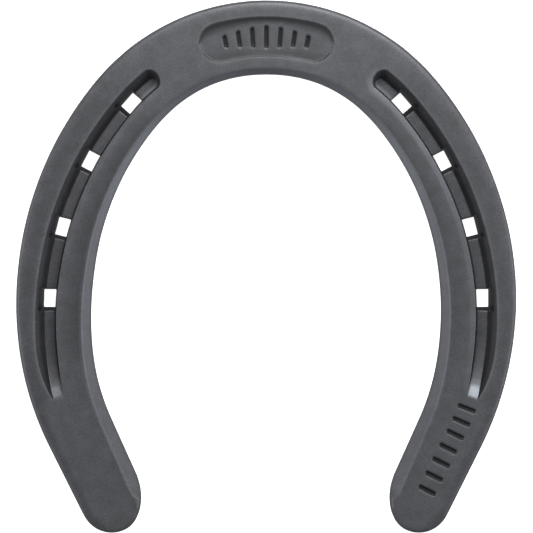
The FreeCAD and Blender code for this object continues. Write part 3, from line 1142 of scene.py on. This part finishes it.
@dataclass(frozen=True)
class BlackenedSteel:
    """The finish: mottled grey faces, a dark colour painted into the recesses as shade, and a light bluish
    colour painted on as highlights.
    """

    name: str = "blackened_steel"
    # painted shade: the dark colour put into the crease, marks, holes and panel
    scale: Colour = (0.010, 0.0105, 0.0105, 1.0)
    dark: Colour = (0.077, 0.078, 0.081, 1.0)
    light: Colour = (0.096, 0.0965, 0.107, 1.0)
    # painted highlight: the light bluish colour put on the rim, bevel, lip and run-out
    painted_highlight: Colour = (0.43, 0.455, 0.51, 1.0)
    metallic: float = 0.55
    roughness: float = 0.47
    noise_low: float = 0.3
    noise_high: float = 0.7
    cloud_scale: float = 330.0  # repeats in a metre
    cloud_detail: float = 4.0
    grain_scale: float = 2600.0
    grain_detail: float = 2.0
    grain_dark: Colour = (0.84, 0.84, 0.84, 1.0)
    grain_light: Colour = (1.16, 1.16, 1.16, 1.0)
    grain_strength: float = 0.35
    grain_height: float = 0.04 * MM

    def make(self) -> bpy.types.Material:
        """Makes the material.

        Returns:
            The finished material.
        """
        material = bpy.data.materials.new(self.name)
        material.use_nodes = True
        tree = material.node_tree
        shader = tree.nodes["Principled BSDF"]
        shader.inputs["Metallic"].default_value = self.metallic
        shader.inputs["Roughness"].default_value = self.roughness
        place = tree.nodes.new("ShaderNodeTexCoord")
        clouds = self._noise(tree, place, self.cloud_scale, self.cloud_detail)
        grain = self._noise(tree, place, self.grain_scale, self.grain_detail)
        mottled = self._shade(tree, clouds, self.dark, self.light)
        speckle = self._shade(tree, grain, self.grain_dark, self.grain_light)
        steel = self._mix(tree, "MULTIPLY", mottled, speckle)
        # painted light and shade from the attribute: under PLAIN the dark painted shade is mixed in, over
        # it the painted highlight
        painted_light = tree.nodes.new("ShaderNodeAttribute")
        painted_light.attribute_name = PAINTED_LIGHT
        unshaded = self._range(tree, painted_light.outputs["Fac"], 0.0, PLAIN)
        bright = self._range(tree, painted_light.outputs["Fac"], PLAIN, 1.0)
        painted = self._mix(tree, "MIX", self._colour(tree, self.scale), steel, unshaded)
        painted = self._mix(tree, "MIX", painted, self._colour(tree, self.painted_highlight), bright)
        tree.links.new(painted, shader.inputs["Base Color"])
        bump = tree.nodes.new("ShaderNodeBump")
        bump.inputs["Strength"].default_value = self.grain_strength
        bump.inputs["Distance"].default_value = self.grain_height
        tree.links.new(grain, bump.inputs["Height"])
        tree.links.new(bump.outputs["Normal"], shader.inputs["Normal"])
        return material

    @staticmethod
    def _noise(
        tree: bpy.types.NodeTree, place: bpy.types.Node, scale: float, detail: float
    ) -> bpy.types.NodeSocket:
        """Adds a noise on the piece's own coordinates.

        Args:
            tree: The material's nodes.
            place: The coordinates.
            scale: Repeats in a metre.
            detail: Octaves.

        Returns:
            The noise's value.
        """
        node = tree.nodes.new("ShaderNodeTexNoise")
        node.inputs["Scale"].default_value = scale
        node.inputs["Detail"].default_value = detail
        tree.links.new(place.outputs["Object"], node.inputs["Vector"])
        return node.outputs["Fac"]

    def _shade(
        self, tree: bpy.types.NodeTree, noise: bpy.types.NodeSocket, low: Colour, high: Colour
    ) -> bpy.types.NodeSocket:
        """Adds a colour that follows a noise.

        Args:
            tree: The material's nodes.
            noise: The noise.
            low: Colour where the noise is low.
            high: Colour where it is high.

        Returns:
            The colour.
        """
        node = tree.nodes.new("ShaderNodeMix")
        node.data_type = "RGBA"
        tree.links.new(self._range(tree, noise, self.noise_low, self.noise_high), node.inputs[MIX_SHARE])
        node.inputs[MIX_FIRST].default_value, node.inputs[MIX_SECOND].default_value = low, high
        return node.outputs[MIX_RESULT]

    @staticmethod
    def _range(
        tree: bpy.types.NodeTree, value: bpy.types.NodeSocket, low: float, high: float
    ) -> bpy.types.NodeSocket:
        """Adds a node that stretches a range to 0 to 1.

        Args:
            tree: The material's nodes.
            value: What it reads.
            low: Value that becomes 0.
            high: Value that becomes 1.

        Returns:
            The stretched value.
        """
        node = tree.nodes.new("ShaderNodeMapRange")
        node.inputs["From Min"].default_value = low
        node.inputs["From Max"].default_value = high
        tree.links.new(value, node.inputs["Value"])
        return node.outputs["Result"]

    @staticmethod
    def _colour(tree: bpy.types.NodeTree, colour: Colour) -> bpy.types.NodeSocket:
        """Adds a plain colour.

        Args:
            tree: The material's nodes.
            colour: The colour.

        Returns:
            Its socket.
        """
        node = tree.nodes.new("ShaderNodeRGB")
        node.outputs[0].default_value = colour
        return node.outputs[0]

    @staticmethod
    def _mix(
        tree: bpy.types.NodeTree,
        blend: str,
        first: bpy.types.NodeSocket,
        second: bpy.types.NodeSocket,
        share: bpy.types.NodeSocket | None = None,
    ) -> bpy.types.NodeSocket:
        """Adds a mix of two colours.

        Args:
            tree: The material's nodes.
            blend: How they mix.
            first: The colour at share 0.
            second: The colour at share 1.
            share: The share, 1 if left out.

        Returns:
            The mixed colour.
        """
        node = tree.nodes.new("ShaderNodeMix")
        node.data_type, node.blend_type = "RGBA", blend
        node.inputs[MIX_SHARE].default_value = 1.0
        if share is not None:
            tree.links.new(share, node.inputs[MIX_SHARE])
        tree.links.new(first, node.inputs[MIX_FIRST])
        tree.links.new(second, node.inputs[MIX_SECOND])
        return node.outputs[MIX_RESULT]


@dataclass
class Shoe:
    """The whole shoe: two branches welded at the toe, softened, and finished."""

    sizes: Sizes
    finish: BlackenedSteel

    def make(self) -> bpy.types.Object:
        """Builds the shoe in place of its CAD node.

        Returns:
            The finished piece.
        """
        low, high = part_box(NODE)
        edge = OuterEdge(self.sizes, high.x - low.x, high.y - low.y)
        halves = [Branch(self.sizes, edge, side, high.z - low.z).make() for side in Side]
        bpy.ops.object.select_all(action="DESELECT")
        for half in halves:
            half.select_set(True)
        bpy.context.view_layer.objects.active = halves[0]
        bpy.ops.object.join()
        shoe = bpy.context.object
        shoe.name = shoe.data.name = "forged_shoe"
        self._weld()
        self._soften(shoe)
        shoe.data.materials.clear()
        shoe.data.materials.append(self.finish.make())
        return shoe

    @staticmethod
    def _weld() -> None:
        """Welds the toe and turns every face outwards."""
        bpy.ops.object.mode_set(mode="EDIT")
        bpy.ops.mesh.select_all(action="SELECT")
        bpy.ops.mesh.remove_doubles(threshold=WELD)
        bpy.ops.mesh.normals_make_consistent(inside=False)
        bpy.ops.object.mode_set(mode="OBJECT")

    @staticmethod
    def _soften(shoe: bpy.types.Object) -> None:
        """Rounds the edges.

        Args:
            shoe: The welded shoe.
        """
        rounding = shoe.modifiers.new("rounding", "SUBSURF")
        rounding.levels = rounding.render_levels = 1
        bpy.ops.object.modifier_apply(modifier=rounding.name)
        bpy.ops.object.shade_smooth()


@dataclass(frozen=True)
class Lamp:
    """One soft light, aimed at the middle of the shoe."""

    name: str
    place: tuple[float, float, float]
    size: tuple[float, float]
    power: float

    def make(self) -> None:
        """Makes the light."""
        light = bpy.data.lights.new(self.name, "AREA")
        light.shape, light.energy = "RECTANGLE", self.power
        light.size, light.size_y = self.size
        lamp = bpy.data.objects.new(self.name, light)
        lamp.location = self.place
        lamp.rotation_euler = (-Vector(self.place)).to_track_quat("-Z", "Y").to_euler()
        bpy.context.scene.collection.objects.link(lamp)


LAMPS = (
    Lamp("toe_softbox", (0.05, 0.30, 0.34), (0.30, 0.16), 1.9),
    Lamp("right_strip", (0.55, 0.00, 0.26), (0.50, 0.16), 1.45),
    Lamp("left_strip", (-0.55, 0.00, 0.26), (0.50, 0.16), 1.3),
)


@dataclass(frozen=True)
class Table:
    """The white table under the shoe. It glows evenly, and neither lights the shoe nor shows in it."""

    size: float = 4.0
    gap: float = 0.1 * MM  # kept under the shoe, so that no faces meet
    colour: Colour = (0.8, 0.8, 0.8, 1.0)
    roughness: float = 0.9
    glow: Colour = (1.0, 1.0, 1.0, 1.0)
    glow_strength: float = 1.0

    def make(self, low: Vector) -> None:
        """Makes the table.

        Args:
            low: Lowest corner of the shoe's box.
        """
        bpy.ops.object.select_all(action="DESELECT")
        bpy.ops.mesh.primitive_plane_add(size=self.size, location=(0, 0, low.z - self.gap))
        table = bpy.context.object
        table.name = "table"
        table.visible_diffuse = table.visible_glossy = False
        material = bpy.data.materials.new("white_table")
        material.use_nodes = True
        shader = material.node_tree.nodes["Principled BSDF"]
        shader.inputs["Base Color"].default_value = self.colour
        shader.inputs["Roughness"].default_value = self.roughness
        shader.inputs["Emission Color"].default_value = self.glow
        shader.inputs["Emission Strength"].default_value = self.glow_strength
        table.data.materials.append(material)


@dataclass(frozen=True)
class Room:
    """The even light of the studio round the shoe."""

    colour: Colour = (0.80, 0.82, 0.86, 1.0)
    strength: float = 0.46

    def make(self) -> None:
        """Makes the light."""
        world = bpy.data.worlds.new("studio")
        world.use_nodes = True
        background = world.node_tree.nodes["Background"]
        background.inputs["Color"].default_value = self.colour
        background.inputs["Strength"].default_value = self.strength
        bpy.context.scene.world = world


@dataclass(frozen=True)
class Viewpoint:
    """A long lens straight above the shoe, with the toe at the top."""

    lens: float = 300.0
    sensor: float = 36.0
    span: float = 1.0679  # width of the view over the width of the shoe

    def make(self, width: float, height: float) -> None:
        """Makes the camera.

        Args:
            width: Width of the shoe.
            height: Height at which the view has its span.
        """
        camera = bpy.data.cameras.new("camera")
        camera.sensor_width, camera.lens = self.sensor, self.lens
        view = bpy.data.objects.new("camera", camera)
        view.location = (0.0, 0.0, height + width * self.span * self.lens / self.sensor)
        bpy.context.scene.collection.objects.link(view)
        bpy.context.scene.camera = view


def main() -> None:
    """Builds the shoe, its table, its lights and its camera."""
    logging.basicConfig(level=logging.INFO, format="%(message)s")
    bpy.context.scene.view_settings.view_transform = "Standard"
    low, high = CAD_BOX
    shoe = Shoe(Sizes(), BlackenedSteel()).make()
    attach(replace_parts(shoe, NODE), "root")
    log.info("%s: %d faces", shoe.name, len(shoe.data.polygons))
    Table().make(low)
    Room().make()
    for lamp in LAMPS:
        lamp.make()
    Viewpoint().make(high.x - low.x, high.z / 2)


if __name__ == "__main__":
    main()
